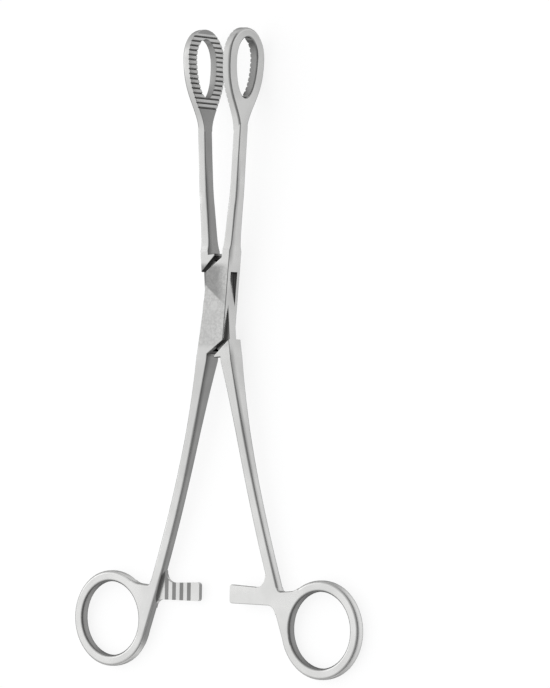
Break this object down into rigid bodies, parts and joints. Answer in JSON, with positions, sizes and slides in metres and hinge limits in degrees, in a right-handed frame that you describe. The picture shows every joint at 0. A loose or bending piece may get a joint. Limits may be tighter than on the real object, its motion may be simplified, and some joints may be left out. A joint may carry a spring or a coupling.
{
  "type": "haemorrhoid forceps",
  "caption": "Ring-handled surgical grasping forceps with a box lock hinge, windowed serrated egg-shaped jaws on long shanks and a toothed ratchet between the finger rings.",
  "frame": {"origin": "hinge axis at the back face of the box lock", "axes": "+Y from the hinge toward the jaw tips, +Z along the hinge axis out of the lock's front face, +X to the right seen from the front"},
  "size_m": [0.1134, 0.1974, 0.0169],
  "materials": {
    "satin_steel": "satin",
    "rivet_steel": "satin"
  },
  "bodies": {
    "box_half": {"box_half": "satin_steel", "rivet": "rivet_steel"},
    "tongue_half": {"tongue_half": "satin_steel"}
  },
  "joints": [
    {"name": "box_lock_hinge", "type": "hinge", "parent": "box_half", "child": "tongue_half", "pos_m": [0, 0, 0], "axis": [0, 0, 1], "range_deg": [-9.4, 35]}
  ]
}
